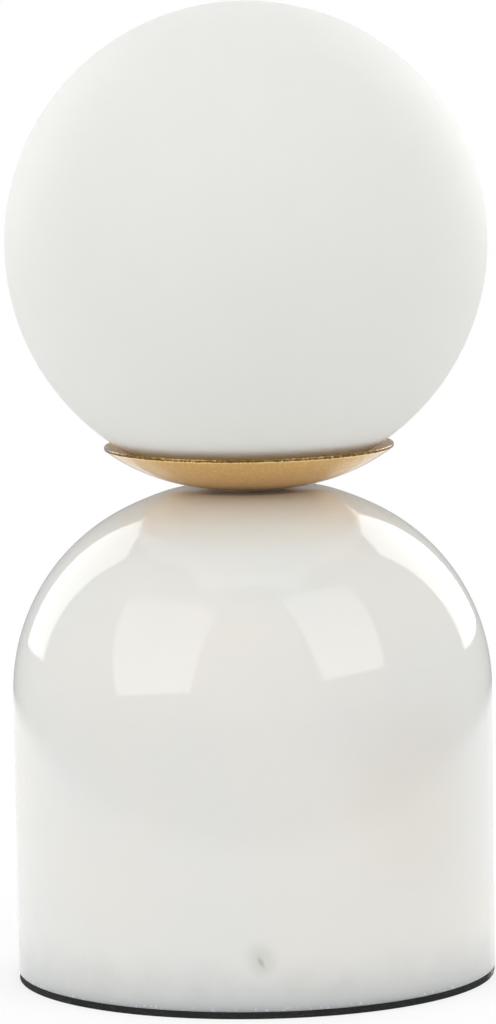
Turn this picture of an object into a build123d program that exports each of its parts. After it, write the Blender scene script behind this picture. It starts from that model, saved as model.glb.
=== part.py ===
"""Small table lamp: opal glass globe in a brass-gold dish on a polished marble dome.

Millimetres, +Z up. The origin is the centre of the foot pad's underside, the front is -Y
and the cable leaves at the back, +Y. Each piece is one node, written to parts/NODE.step.
"""

import math
import os

from build123d import *

# ---------------------------------------------------------------- clearances
FIT = 0.05  # radial clearance of threads and close fits
BUSH_FIT = 0.1  # radial clearance of plastic bushes and the cable gland
LOOSE = 0.5  # radial clearance of bolt-through holes
SOFT_GAP = 0.3  # gap between soft or curved pieces and the piece they rest on
SEAT_GAP = 0.2  # gap under a piece that pulls off

# ---------------------------------------------------------------- marble base and foot
BASE_RADIUS = 75.0
STONE_HEIGHT = 151.4
SEAT_RADIUS = 12.0  # flat on top of the dome, where the dish sits
STONE_EDGE = 0.6  # small round at the stone's bottom edge
CHAMBER_RADIUS = 45.0  # hollow under the dome for the nut and the wiring
CROWN_THICKNESS = 58.5  # stone left above that hollow
CHAMBER_ROUND = 6.0
PAD_THICKNESS = 2.1
COVER_RADIUS = 49.0
COVER_THICKNESS = 3.0

# ---------------------------------------------------------------- cable gland at the back
GLAND_HEIGHT = 16.0
CABLE_HOLE_RADIUS = 3.3
GLAND_RADIUS = 5.0
GLAND_LENGTH = 16.0
GLAND_FLANGE_RADIUS = 8.0
GLAND_FLANGE_THICKNESS = 2.0
GLAND_CHAMFER = 0.6

# ---------------------------------------------------------------- gold dish
DISH_RADIUS = 45.2
DISH_THICKNESS = 0.8
DISH_FLAT_RADIUS = 7.6
DISH_EASE = 12.4  # how much smaller the dish's inner arc is than the globe
DISH_EDGE = 0.25
SEAT_WASHER_RADIUS = 11.0
SEAT_WASHER_THICKNESS = 0.4

# ---------------------------------------------------------------- threaded tube and its nuts
TUBE_RADIUS = 5.0
TUBE_BORE_RADIUS = 4.0
TUBE_END = 4.0  # tube left free below the bottom nut
TUBE_TOP = 1.1  # tube left free above the holder bracket
NUT_FLATS = 14.0  # across the flats
TUBE_NUT_THICKNESS = 4.0
DISH_NUT_THICKNESS = 3.0
FENDER_WASHER_RADIUS = 17.0
FENDER_WASHER_THICKNESS = 2.0
LOCK_WASHER_RADIUS = 7.4
LOCK_WASHER_THICKNESS = 0.8
LOCK_WASHER_TEETH = 12
TOOTH_DEPTH = 1.1
BUSH_FLANGE_THICKNESS = 1.0
BUSH_WALL = 0.6
BUSH_DEPTH = 5.0

# ---------------------------------------------------------------- sleeve that holds the globe
SLEEVE_RADIUS = 15.0
SLEEVE_WALL = 1.2
SLEEVE_FLOOR = 1.2
SLEEVE_HEIGHT = 12.8

# ---------------------------------------------------------------- lamp holder
BRACKET_RADIUS = 12.0
BRACKET_THICKNESS = 2.5
HOLDER_RADIUS = 12.5
HOLDER_HEIGHT = 22.0
HOLDER_EDGE = 0.6
HOLDER_RECESS_RADIUS = 6.2
HOLDER_RECESS_DEPTH = 8.0
HOLDER_SCREW_OFFSET = 8.4
HOLDER_SCREW_RADIUS = 1.5
HOLDER_HEAD_RADIUS = 2.75
HOLDER_HEAD_HEIGHT = 2.2
HOLDER_HEAD_SINK = 1.2
POCKET_WIDTH = 5.4
POCKET_BREADTH = 4.4
POCKET_DEPTH = 11.0
CONTACT_SHEET = 0.35
CONTACT_HEIGHT = 8.0
CONTACT_SIDE_GAP = 0.4
CONTACT_TAIL_RADIUS = 0.9

# ---------------------------------------------------------------- bulb with two loop pins
PIN_SPACING = 9.0
PIN_WIRE_RADIUS = 0.4
PIN_LOOP_RADIUS = 1.4
PIN_LENGTH = 7.5
PIN_ROOT = 2.0  # pin length inside the bulb's base
BULB_BASE_RADIUS = 8.0
BULB_BASE_HEIGHT = 12.0
BULB_BASE_EDGE = 1.0
BULB_RADIUS = 7.5
BULB_WALL = 0.9
BULB_LENGTH = 32.0
LED_RADIUS = 4.5
LED_LENGTH = 22.0
LED_EDGE = 0.8

# ---------------------------------------------------------------- glass globe and its seal
GLOBE_RADIUS = 75.0
GLASS_WALL = 3.0
GLASS_EDGE = 0.5
MOUTH_RADIUS = 21.1  # outer radius of the ground ring at the globe's mouth
NECK_CLEARANCE = 0.3
NECK_WALL = 3.2
NECK_HEIGHT = 10.7
SEAL_RADIUS = 20.2
SEAL_BREADTH = 4.6
SEAL_THICKNESS = 1.5

# ---------------------------------------------------------------- wiring inside
LEAD_RADIUS = 0.9
LEAD_SPACING = 2.8
LEAD_RECESS_DROP = 2.0  # straight lead below the contact's tail
LEAD_BUSH_RISE = 1.0  # height of the bend above the upper bush
LEAD_EXIT_DROP = 8.0  # height of the bend below the tube
LEAD_LOOP = [(5.5, -9, 52), (8.5, -19, 28), (6.5, -12, 10.6)]  # slack loop in the hollow, chosen by eye
LEAD_APPROACH = 4.0  # straight lead in front of the insert
LEAD_ENTRY = 5.0  # lead inside the insert
BEND_SHARE = 0.45  # share of the shorter run that a bend may take
TERMINAL_Y = 22.0
TERMINAL_PITCH = 12.0
TERMINAL_LENGTH = 18.0
TERMINAL_HEIGHT = 12.0
TERMINAL_AXIS = 5.5  # height of the inserts above the cover
TERMINAL_WALL = 1.6
TERMINAL_ROUND = 1.0
INSERT_RADIUS = 2.6
INSERT_BORE_RADIUS = 1.4
INSERT_LENGTH = 14.0
INSERT_SCREW_OFFSET = 4.2
INSERT_SCREW_RADIUS = 1.2
INSERT_HEAD_RADIUS = 1.7
INSERT_HEAD_HEIGHT = 1.4
INSERT_HEAD_LIFT = 0.6  # the heads stand this far above the inserts
FIXING_SCREW_RADIUS = 1.5
FIXING_HEAD_RADIUS = 2.7
FIXING_HEAD_HEIGHT = 1.6
FIXING_FLOOR = 3.0
FIXING_TIP_COVER = 0.6  # cover left under the fixing screw's tip
SCREW_SLOT_WIDTH = 0.7
SCREW_SLOT_DEPTH = 0.7

# ---------------------------------------------------------------- heights, from the floor up
stone_bottom = PAD_THICKNESS
base_top = stone_bottom + STONE_HEIGHT
shoulder_radius = BASE_RADIUS - SEAT_RADIUS
shoulder_height = base_top - shoulder_radius
chamber_top = base_top - CROWN_THICKNESS
cover_top = stone_bottom + COVER_THICKNESS
dish_bottom = base_top + SEAT_WASHER_THICKNESS
dish_floor = dish_bottom + DISH_THICKNESS
dish_nut_bottom = dish_floor + LOCK_WASHER_THICKNESS
sleeve_bottom = dish_nut_bottom + DISH_NUT_THICKNESS
sleeve_top = sleeve_bottom + SLEEVE_HEIGHT
bracket_bottom = sleeve_bottom + SLEEVE_FLOOR
holder_bottom = bracket_bottom + BRACKET_THICKNESS
holder_top = holder_bottom + HOLDER_HEIGHT
tube_top = holder_bottom + TUBE_TOP
fender_bottom = chamber_top - FENDER_WASHER_THICKNESS
tube_nut_top = fender_bottom - LOCK_WASHER_THICKNESS
tube_bottom = tube_nut_top - TUBE_NUT_THICKNESS - TUBE_END
pocket_floor = holder_top - POCKET_DEPTH
recess_top = holder_bottom + HOLDER_RECESS_DEPTH
bulb_bottom = holder_top + SEAT_GAP
bulb_shoulder = bulb_bottom + BULB_BASE_HEIGHT
terminal_axis_height = cover_top + TERMINAL_AXIS

# ---------------------------------------------------------------- radii shared by neighbours
tube_hole_radius = TUBE_RADIUS + LOOSE
bush_bore_radius = TUBE_BORE_RADIUS - BUSH_FIT - BUSH_WALL
dish_inner_arc = GLOBE_RADIUS - DISH_EASE
dish_outer_arc = dish_inner_arc + DISH_THICKNESS
dish_arc_height = dish_bottom + dish_outer_arc
neck_radius = SLEEVE_RADIUS + NECK_CLEARANCE
neck_outer_radius = neck_radius + NECK_WALL
glass_inner_radius = GLOBE_RADIUS - GLASS_WALL


def dish_inner_height(radius):
    """Height of the dish's inner face at a distance from the axis."""
    return dish_arc_height - math.sqrt(dish_inner_arc**2 - (radius - DISH_FLAT_RADIUS) ** 2)


seal_bottom = dish_inner_height(SEAL_RADIUS) + SOFT_GAP
seal_top = seal_bottom + SEAL_THICKNESS
mouth_height = seal_top + SOFT_GAP
globe_centre = mouth_height + math.sqrt(GLOBE_RADIUS**2 - MOUTH_RADIUS**2)
neck_top = mouth_height + NECK_HEIGHT


# ---------------------------------------------------------------- helpers
def turned(*edges):
    """Solid of revolution about Z from edges drawn as (radius, height)."""
    outline = edges[0]
    for edge in edges[1:]:
        outline = outline + edge
    return revolve(make_face(Plane.XZ * outline), Axis.Z)


def disc(radius, bottom, top, x=0.0, y=0.0):
    """Upright cylinder between two heights."""
    return Pos(x, y, bottom) * Cylinder(radius, top - bottom, align=(Align.CENTER, Align.CENTER, Align.MIN))


def ring(outer, inner, bottom, top):
    """Flat ring about Z between two heights."""
    return disc(outer, bottom, top) - disc(inner, bottom, top)


def block(length, breadth, bottom, top, x=0.0, y=0.0):
    """Upright box between two heights."""
    return Pos(x, y, bottom) * Box(length, breadth, top - bottom, align=(Align.CENTER, Align.CENTER, Align.MIN))


def rod_along_y(radius, start, end, x, z):
    """Cylinder along Y."""
    middle = (start + end) / 2
    return Pos(x, middle, z) * Rot(90, 0, 0) * Cylinder(radius, end - start)


def hoops(shape):
    """Closed edges of a turned shape in groups of equal height, from the bottom up."""
    closed = shape.edges().filter_by(lambda edge: edge.is_closed)
    return closed.group_by(Axis.Z)


def hex_nut(flats, bottom, top):
    """Hexagon nut on the threaded tube, with rounded-off corners at both faces."""
    corner_radius = flats / math.sqrt(3)
    height = top - bottom
    hexagon = Pos(0, 0, bottom) * extrude(RegularPolygon(flats / 2, 6, major_radius=False), height)
    bevel = (corner_radius - flats / 2) / 2
    blank = chamfer(disc(corner_radius, bottom, top).edges().filter_by(GeomType.CIRCLE), bevel)
    return (hexagon & blank) - disc(TUBE_RADIUS + FIT, bottom, top)


def toothed_washer(bottom):
    """Lock washer with teeth cut into its rim."""
    top = bottom + LOCK_WASHER_THICKNESS
    washer = ring(LOCK_WASHER_RADIUS, TUBE_RADIUS + FIT, bottom, top)
    gap_width = math.pi * LOCK_WASHER_RADIUS / LOCK_WASHER_TEETH
    notch = block(2 * TOOTH_DEPTH, gap_width, bottom, top, x=LOCK_WASHER_RADIUS)
    for tooth in range(LOCK_WASHER_TEETH):
        washer -= Rot(0, 0, tooth * 360 / LOCK_WASHER_TEETH) * notch
    return washer


def slotted_screw(shank, head, head_height, tip, seat, x, y):
    """Upright cheese-head screw: tip at the bottom, head standing on its seat."""
    top = seat + head_height
    slot = block(2 * head, SCREW_SLOT_WIDTH, top - SCREW_SLOT_DEPTH, top, x, y)
    return disc(shank, tip, seat, x, y) + disc(head, seat, top, x, y) - slot


def tube_bush(outer_end, flange_direction):
    """Plastic bush in an end of the tube; the flange lies outside that end."""
    flange_end = outer_end + flange_direction * BUSH_FLANGE_THICKNESS
    barrel_end = outer_end - flange_direction * BUSH_DEPTH
    low, high = sorted((outer_end, flange_end))
    barrel_low, barrel_high = sorted((outer_end, barrel_end))
    flange = disc(TUBE_RADIUS, low, high)
    barrel = disc(TUBE_BORE_RADIUS - BUSH_FIT, barrel_low, barrel_high)
    bore = disc(bush_bore_radius, min(low, barrel_low), max(high, barrel_high))
    return flange + barrel - bore


# ---------------------------------------------------------------- base
def gland_face():
    """Y of the gland's outer face, just inside the round wall of the stone."""
    return math.sqrt(BASE_RADIUS**2 - GLAND_FLANGE_RADIUS**2) - SOFT_GAP


def marble_base():
    """Polished stone: straight wall, round shoulder and a small flat seat on top."""
    outside = turned(
        Line((0, stone_bottom), (BASE_RADIUS, stone_bottom)),
        Line((BASE_RADIUS, stone_bottom), (BASE_RADIUS, shoulder_height)),
        CenterArc((SEAT_RADIUS, shoulder_height), shoulder_radius, 0, 90),
        Line((SEAT_RADIUS, base_top), (0, base_top)),
        Line((0, base_top), (0, stone_bottom)),
    )
    outside = fillet(hoops(outside)[0], STONE_EDGE)
    chamber = disc(CHAMBER_RADIUS, stone_bottom, chamber_top)
    chamber = fillet(hoops(chamber)[-1], CHAMBER_ROUND)
    rebate = disc(COVER_RADIUS + LOOSE, stone_bottom, cover_top)
    bore = disc(tube_hole_radius, chamber_top, base_top)
    flange_seat = gland_face() - GLAND_FLANGE_THICKNESS
    cable_hole = rod_along_y(GLAND_RADIUS + BUSH_FIT, 0, BASE_RADIUS, 0, GLAND_HEIGHT)
    spot_face = rod_along_y(GLAND_FLANGE_RADIUS + SOFT_GAP, flange_seat, BASE_RADIUS + 1, 0, GLAND_HEIGHT)
    return outside - chamber - rebate - bore - cable_hole - spot_face


def foot_pad():
    """Black foam pad glued under the stone, flush with its wall."""
    return disc(BASE_RADIUS, 0, stone_bottom)


def cavity_cover():
    """Fibre disc let into the underside; the terminal block is screwed to it."""
    hole = disc(FIXING_SCREW_RADIUS + FIT, fixing_tip_height(), cover_top, y=TERMINAL_Y)
    return disc(COVER_RADIUS, stone_bottom, cover_top) - hole


def cable_gland():
    """Flanged bush that guides the cable through the stone."""
    face = gland_face()
    flange_seat = face - GLAND_FLANGE_THICKNESS
    flange = rod_along_y(GLAND_FLANGE_RADIUS, flange_seat, face, 0, GLAND_HEIGHT)
    flange = chamfer(flange.edges().filter_by(GeomType.CIRCLE).sort_by(Axis.Y)[-1], GLAND_CHAMFER)
    barrel = rod_along_y(GLAND_RADIUS, face - GLAND_LENGTH, flange_seat, 0, GLAND_HEIGHT)
    bore = rod_along_y(CABLE_HOLE_RADIUS, face - GLAND_LENGTH, face, 0, GLAND_HEIGHT)
    return flange + barrel - bore


# ---------------------------------------------------------------- tube, washers and nuts
def threaded_tube():
    """All-thread tube that clamps dish, sleeve and bracket to the stone."""
    return ring(TUBE_RADIUS, TUBE_BORE_RADIUS, tube_bottom, tube_top)


def fender_washer():
    """Wide steel washer that spreads the nut's load on the stone."""
    return ring(FENDER_WASHER_RADIUS, tube_hole_radius, fender_bottom, chamber_top)


def dish_seat_washer():
    """Thin clear washer between the stone and the dish."""
    return ring(SEAT_WASHER_RADIUS, tube_hole_radius, base_top, dish_bottom)


def gold_dish():
    """Spun metal dish: flat middle, rising arc and a square-cut rim."""
    rise = DISH_RADIUS - DISH_FLAT_RADIUS
    outer_angle = math.degrees(math.asin(rise / dish_outer_arc))
    inner_angle = math.degrees(math.asin(rise / dish_inner_arc))
    outer_rim = dish_arc_height - math.sqrt(dish_outer_arc**2 - rise**2)
    inner_rim = dish_inner_height(DISH_RADIUS)
    arc_centre = (DISH_FLAT_RADIUS, dish_arc_height)
    dish = turned(
        Line((tube_hole_radius, dish_bottom), (DISH_FLAT_RADIUS, dish_bottom)),
        CenterArc(arc_centre, dish_outer_arc, -90, outer_angle),
        Line((DISH_RADIUS, outer_rim), (DISH_RADIUS, inner_rim)),
        CenterArc(arc_centre, dish_inner_arc, -90, inner_angle),
        Line((DISH_FLAT_RADIUS, dish_floor), (tube_hole_radius, dish_floor)),
        Line((tube_hole_radius, dish_floor), (tube_hole_radius, dish_bottom)),
    )
    rim_edges = hoops(dish)[-2:]
    return fillet([edge for group in rim_edges for edge in group], DISH_EDGE)


def shade_sleeve():
    """Cup on the tube whose outer wall carries the globe's neck."""
    cup = disc(SLEEVE_RADIUS, sleeve_bottom, sleeve_top)
    inside = disc(SLEEVE_RADIUS - SLEEVE_WALL, bracket_bottom, sleeve_top)
    hole = disc(TUBE_RADIUS + FIT, sleeve_bottom, bracket_bottom)
    return cup - inside - hole


# ---------------------------------------------------------------- lamp holder
def screw_sides():
    """Y of the two holder screws."""
    return (-HOLDER_SCREW_OFFSET, HOLDER_SCREW_OFFSET)


def pin_sides():
    """X of the two pins, contacts and leads."""
    return (-PIN_SPACING / 2, PIN_SPACING / 2)


def holder_head_seat():
    """Height on which the holder screws' heads stand."""
    return holder_top - HOLDER_HEAD_SINK - HOLDER_HEAD_HEIGHT


def holder_bracket():
    """Round steel plate, threaded on the tube, that carries the ceramic."""
    plate = ring(BRACKET_RADIUS, TUBE_RADIUS + FIT, bracket_bottom, holder_bottom)
    for y in screw_sides():
        plate -= disc(HOLDER_SCREW_RADIUS + FIT, bracket_bottom, holder_bottom, y=y)
    return plate


def lamp_holder():
    """Ceramic block with two contact pockets, two screw holes and a wiring recess."""
    body = disc(HOLDER_RADIUS, holder_bottom, holder_top)
    body = chamfer(hoops(body)[-1], HOLDER_EDGE)
    body -= disc(HOLDER_RECESS_RADIUS, holder_bottom, recess_top)
    for x in pin_sides():
        body -= block(POCKET_WIDTH, POCKET_BREADTH, pocket_floor, holder_top, x)
        body -= disc(CONTACT_TAIL_RADIUS + BUSH_FIT, recess_top, pocket_floor, x)
    for y in screw_sides():
        body -= disc(HOLDER_SCREW_RADIUS + BUSH_FIT, holder_bottom, holder_top, y=y)
        body -= disc(HOLDER_HEAD_RADIUS + BUSH_FIT, holder_head_seat(), holder_top, y=y)
    return body


def holder_screws():
    """Two screws from the ceramic's top down into the bracket."""
    seat = holder_head_seat()
    return [
        slotted_screw(HOLDER_SCREW_RADIUS, HOLDER_HEAD_RADIUS, HOLDER_HEAD_HEIGHT, bracket_bottom, seat, 0, y)
        for y in screw_sides()
    ]


def holder_contact(x):
    """Spring clip in a pocket: two leaves that grip a pin loop, and a crimp tail below."""
    width = POCKET_WIDTH - 2 * CONTACT_SIDE_GAP
    leaf_middle = PIN_WIRE_RADIUS + FIT + CONTACT_SHEET / 2
    floor_top = pocket_floor + CONTACT_SHEET
    clip = block(width, 2 * leaf_middle + CONTACT_SHEET, pocket_floor, floor_top, x)
    for side in (-1, 1):
        clip += block(width, CONTACT_SHEET, pocket_floor, pocket_floor + CONTACT_HEIGHT, x, side * leaf_middle)
    return clip + disc(CONTACT_TAIL_RADIUS, recess_top, pocket_floor, x)


# ---------------------------------------------------------------- bulb
def bulb_pin(x):
    """One pin: a wire bent into a loop that hangs out of the bulb's base."""
    loop_height = bulb_bottom - PIN_LENGTH + PIN_LOOP_RADIUS + PIN_WIRE_RADIUS
    root_height = bulb_bottom + PIN_ROOT
    left = x - PIN_LOOP_RADIUS
    right = x + PIN_LOOP_RADIUS
    path = (
        Line((left, root_height), (left, loop_height))
        + CenterArc((x, loop_height), PIN_LOOP_RADIUS, 180, 180)
        + Line((right, loop_height), (right, root_height))
    )
    section = Pos(left, 0, root_height) * Circle(PIN_WIRE_RADIUS)
    return sweep(section, Plane.XZ * path)


def bulb_base():
    """Moulded base of the bulb, with sockets for the pins."""
    body = disc(BULB_BASE_RADIUS, bulb_bottom, bulb_shoulder)
    body = fillet(hoops(body)[-1], BULB_BASE_EDGE)
    for x in pin_sides():
        for side in (-PIN_LOOP_RADIUS, PIN_LOOP_RADIUS):
            body -= disc(PIN_WIRE_RADIUS + FIT, bulb_bottom, bulb_bottom + PIN_ROOT, x + side)
    return body


def bulb_envelope():
    """Round-topped clear cover over the light source, open at the base."""
    dome_height = bulb_shoulder + BULB_LENGTH - BULB_RADIUS
    inner_radius = BULB_RADIUS - BULB_WALL
    return turned(
        Line((inner_radius, bulb_shoulder), (BULB_RADIUS, bulb_shoulder)),
        Line((BULB_RADIUS, bulb_shoulder), (BULB_RADIUS, dome_height)),
        CenterArc((0, dome_height), BULB_RADIUS, 0, 90),
        Line((0, dome_height + BULB_RADIUS), (0, dome_height + inner_radius)),
        CenterArc((0, dome_height), inner_radius, 0, 90),
        Line((inner_radius, dome_height), (inner_radius, bulb_shoulder)),
    )


def bulb_light_source():
    """Lamp core inside the cover."""
    core = disc(LED_RADIUS, bulb_shoulder, bulb_shoulder + LED_LENGTH)
    return fillet(hoops(core)[-1], LED_EDGE)


# ---------------------------------------------------------------- globe and seal
def globe_seal():
    """Flat silicone ring lying in the dish under the globe's mouth."""
    return ring(SEAL_RADIUS, SEAL_RADIUS - SEAL_BREADTH, seal_bottom, seal_top)


def glass_globe():
    """Opal globe with a ground mouth and a neck turned inwards over the sleeve."""
    mouth_angle = math.degrees(math.asin(MOUTH_RADIUS / GLOBE_RADIUS))
    neck_angle = math.degrees(math.asin(neck_outer_radius / glass_inner_radius))
    neck_foot = globe_centre - math.sqrt(glass_inner_radius**2 - neck_outer_radius**2)
    centre = (0, globe_centre)
    globe = turned(
        Line((neck_radius, mouth_height), (MOUTH_RADIUS, mouth_height)),
        CenterArc(centre, GLOBE_RADIUS, mouth_angle - 90, 180 - mouth_angle),
        Line((0, globe_centre + GLOBE_RADIUS), (0, globe_centre + glass_inner_radius)),
        CenterArc(centre, glass_inner_radius, neck_angle - 90, 180 - neck_angle),
        Line((neck_outer_radius, neck_foot), (neck_outer_radius, neck_top)),
        Line((neck_outer_radius, neck_top), (neck_radius, neck_top)),
        Line((neck_radius, neck_top), (neck_radius, mouth_height)),
    )
    edges = hoops(globe)
    return fillet([*edges[0], *edges[-1]], GLASS_EDGE)


# ---------------------------------------------------------------- wiring inside the base
def fixing_tip_height():
    """Height of the terminal fixing screw's tip, inside the cover."""
    return stone_bottom + FIXING_TIP_COVER


def insert_sides():
    """X of the terminal block's two brass inserts."""
    return (-TERMINAL_PITCH / 2, TERMINAL_PITCH / 2)


def insert_screw_places():
    """X and Y of the four terminal screws."""
    offsets = (-INSERT_SCREW_OFFSET, INSERT_SCREW_OFFSET)
    return [(x, TERMINAL_Y + offset) for x in insert_sides() for offset in offsets]


def insert_head_seat():
    """Height under the heads of the terminal screws."""
    return terminal_axis_height + INSERT_RADIUS + INSERT_HEAD_LIFT


def terminal_block():
    """Two-pole connector housing on the cover."""
    top = cover_top + TERMINAL_HEIGHT
    length = TERMINAL_PITCH + 2 * (INSERT_RADIUS + FIT + TERMINAL_WALL)
    housing = block(length, TERMINAL_LENGTH, cover_top, top, y=TERMINAL_Y)
    housing = fillet(housing.edges().filter_by(Axis.Z), TERMINAL_ROUND)
    start = TERMINAL_Y - TERMINAL_LENGTH / 2
    for x in insert_sides():
        housing -= rod_along_y(INSERT_RADIUS + FIT, start, start + TERMINAL_LENGTH, x, terminal_axis_height)
    for x, y in insert_screw_places():
        housing -= disc(INSERT_HEAD_RADIUS + BUSH_FIT, terminal_axis_height, top, x, y)
    housing -= disc(FIXING_HEAD_RADIUS + BUSH_FIT, cover_top + FIXING_FLOOR, top, y=TERMINAL_Y)
    housing -= disc(FIXING_SCREW_RADIUS + BUSH_FIT, cover_top, top, y=TERMINAL_Y)
    return housing


def terminal_inserts():
    """Two brass tubes with threaded holes on top."""
    start = TERMINAL_Y - INSERT_LENGTH / 2
    inserts = []
    for x in insert_sides():
        tube = rod_along_y(INSERT_RADIUS, start, start + INSERT_LENGTH, x, terminal_axis_height)
        tube -= rod_along_y(INSERT_BORE_RADIUS, start, start + INSERT_LENGTH, x, terminal_axis_height)
        for screw_x, screw_y in insert_screw_places():
            if screw_x == x:
                thread_top = terminal_axis_height + INSERT_RADIUS
                tube -= disc(INSERT_SCREW_RADIUS + FIT, terminal_axis_height, thread_top, x, screw_y)
        inserts.append(tube)
    return inserts


def terminal_screws():
    """Four screws that press the conductors into the inserts."""
    seat = insert_head_seat()
    tip = terminal_axis_height + LEAD_RADIUS + FIT
    return [
        slotted_screw(INSERT_SCREW_RADIUS, INSERT_HEAD_RADIUS, INSERT_HEAD_HEIGHT, tip, seat, x, y)
        for x, y in insert_screw_places()
    ]


def terminal_fixing_screw():
    """Screw from the connector's middle down into the cover."""
    seat = cover_top + FIXING_FLOOR
    return slotted_screw(
        FIXING_SCREW_RADIUS, FIXING_HEAD_RADIUS, FIXING_HEAD_HEIGHT, fixing_tip_height(), seat, 0, TERMINAL_Y
    )


def lead(side):
    """Insulated lead from a contact, down the tube and over to the connector.

    side is -1 or 1. The route is straight runs joined by tangent arcs.
    """
    contact_x = side * PIN_SPACING / 2
    tube_x = side * LEAD_SPACING / 2
    insert_x = side * TERMINAL_PITCH / 2
    first_bend = recess_top - LEAD_RECESS_DROP
    insert_start = TERMINAL_Y - INSERT_LENGTH / 2
    route = [
        (contact_x, 0, recess_top),
        (contact_x, 0, first_bend),
        (tube_x, 0, tube_top + BUSH_FLANGE_THICKNESS + LEAD_BUSH_RISE),
        (tube_x, 0, tube_bottom - LEAD_EXIT_DROP),
        *[(side * x, y, z) for x, y, z in LEAD_LOOP],
        (insert_x, insert_start - LEAD_APPROACH, terminal_axis_height),
        (insert_x, insert_start + LEAD_ENTRY, terminal_axis_height),
    ]
    radii = bend_radii(route)
    path = FilletPolyline(*route, radius=radii)
    section = Plane(origin=route[0], z_dir=(0, 0, -1)) * Circle(LEAD_RADIUS)
    return sweep(section, path)


def bend_radii(route):
    """Largest tangent radius at each corner of a route, from its two runs."""
    points = [Vector(*point) for point in route]
    radii = []
    for before, corner, after in zip(points, points[1:], points[2:]):
        first = corner - before
        second = after - corner
        half_turn = math.radians(first.get_angle(second)) / 2
        radii.append(BEND_SHARE * min(first.length, second.length) / math.tan(half_turn))
    return radii


# ---------------------------------------------------------------- write every node
def nodes():
    """Node name to its solids."""
    left, right = pin_sides()
    return {
        "marble_base": marble_base(),
        "foot_pad": foot_pad(),
        "cavity_cover": cavity_cover(),
        "cable_gland": cable_gland(),
        "threaded_tube": threaded_tube(),
        "tube_bush_lower": tube_bush(tube_bottom, -1),
        "tube_bush_upper": tube_bush(tube_top, 1),
        "fender_washer": fender_washer(),
        "tube_lock_washer": toothed_washer(tube_nut_top),
        "tube_nut": hex_nut(NUT_FLATS, tube_nut_top - TUBE_NUT_THICKNESS, tube_nut_top),
        "dish_seat_washer": dish_seat_washer(),
        "gold_dish": gold_dish(),
        "dish_lock_washer": toothed_washer(dish_floor),
        "dish_nut": hex_nut(NUT_FLATS, dish_nut_bottom, sleeve_bottom),
        "shade_sleeve": shade_sleeve(),
        "holder_bracket": holder_bracket(),
        "lamp_holder": lamp_holder(),
        "holder_screws": holder_screws(),
        "holder_contact_left": holder_contact(left),
        "holder_contact_right": holder_contact(right),
        "bulb_pins": [bulb_pin(x) for x in pin_sides()],
        "bulb_base": bulb_base(),
        "bulb_envelope": bulb_envelope(),
        "bulb_light_source": bulb_light_source(),
        "globe_seal": globe_seal(),
        "glass_globe": glass_globe(),
        "lead_left": lead(-1),
        "lead_right": lead(1),
        "terminal_block": terminal_block(),
        "terminal_inserts": terminal_inserts(),
        "terminal_screws": terminal_screws(),
        "terminal_fixing_screw": terminal_fixing_screw(),
    }


os.makedirs("parts", exist_ok=True)
for name, shape in nodes().items():
    solids = shape if isinstance(shape, list) else [shape]
    export_step(Compound(children=[part.solid() for part in solids]), f"parts/{name}.step")
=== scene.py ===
"""Dresses the glass globe table lamp: finished meshes, materials, studio and camera.

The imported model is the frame. Every new piece sits where its CAD node is, in metres, with
+Z up and the front towards -Y.
"""

import math

import bmesh
import bpy
from bpy.props import FloatProperty, FloatVectorProperty, IntProperty, PointerProperty
from mathutils import Matrix, Vector


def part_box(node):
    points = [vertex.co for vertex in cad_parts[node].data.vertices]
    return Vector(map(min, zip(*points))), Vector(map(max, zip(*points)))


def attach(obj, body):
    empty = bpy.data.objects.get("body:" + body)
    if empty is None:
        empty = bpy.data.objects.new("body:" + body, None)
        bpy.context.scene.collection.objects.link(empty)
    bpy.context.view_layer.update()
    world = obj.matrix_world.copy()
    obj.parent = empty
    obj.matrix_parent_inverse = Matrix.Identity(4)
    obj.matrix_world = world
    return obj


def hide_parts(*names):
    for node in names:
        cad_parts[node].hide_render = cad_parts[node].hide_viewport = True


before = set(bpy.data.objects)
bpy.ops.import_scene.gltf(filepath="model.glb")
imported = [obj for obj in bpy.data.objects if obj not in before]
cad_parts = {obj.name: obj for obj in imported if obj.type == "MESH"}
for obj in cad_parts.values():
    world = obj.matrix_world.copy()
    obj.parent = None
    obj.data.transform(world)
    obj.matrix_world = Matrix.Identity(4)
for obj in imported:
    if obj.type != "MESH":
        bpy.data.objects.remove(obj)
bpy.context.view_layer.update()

bl_info = {
    "name": "Glass globe table lamp",
    "version": (1, 0, 0),
    "blender": (4, 5, 0),
    "location": "View3D > Sidebar > Globe lamp",
    "description": "Builds the visible pieces of a marble table lamp with an opal glass globe",
    "category": "Object",
}

MM = 0.001


def linear(code, alpha=1.0):
    """Linear RGBA of an sRGB hex colour."""
    parts = [int(code[start : start + 2], 16) / 255 for start in (1, 3, 5)]
    return (*(part / 12.92 if part <= 0.04045 else ((part + 0.055) / 1.055) ** 2.4 for part in parts), alpha)


def node_radius(node):
    """Half the X extent of a round CAD node."""
    low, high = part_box(node)
    return (high[0] - low[0]) / 2


def node_bottom(node):
    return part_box(node)[0][2]


def node_top(node):
    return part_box(node)[1][2]


# ---------------------------------------------------------------- sizes and colours
def length(name, default, description):
    """A length property in metres."""
    return FloatProperty(name=name, default=default, description=description, unit="LENGTH", min=0.0, precision=5)


def colour(name, code, description):
    """A colour property from an sRGB hex value."""
    return FloatVectorProperty(
        name=name, default=linear(code)[:3], description=description, subtype="COLOR", size=3, min=0.0, max=1.0
    )


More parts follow.
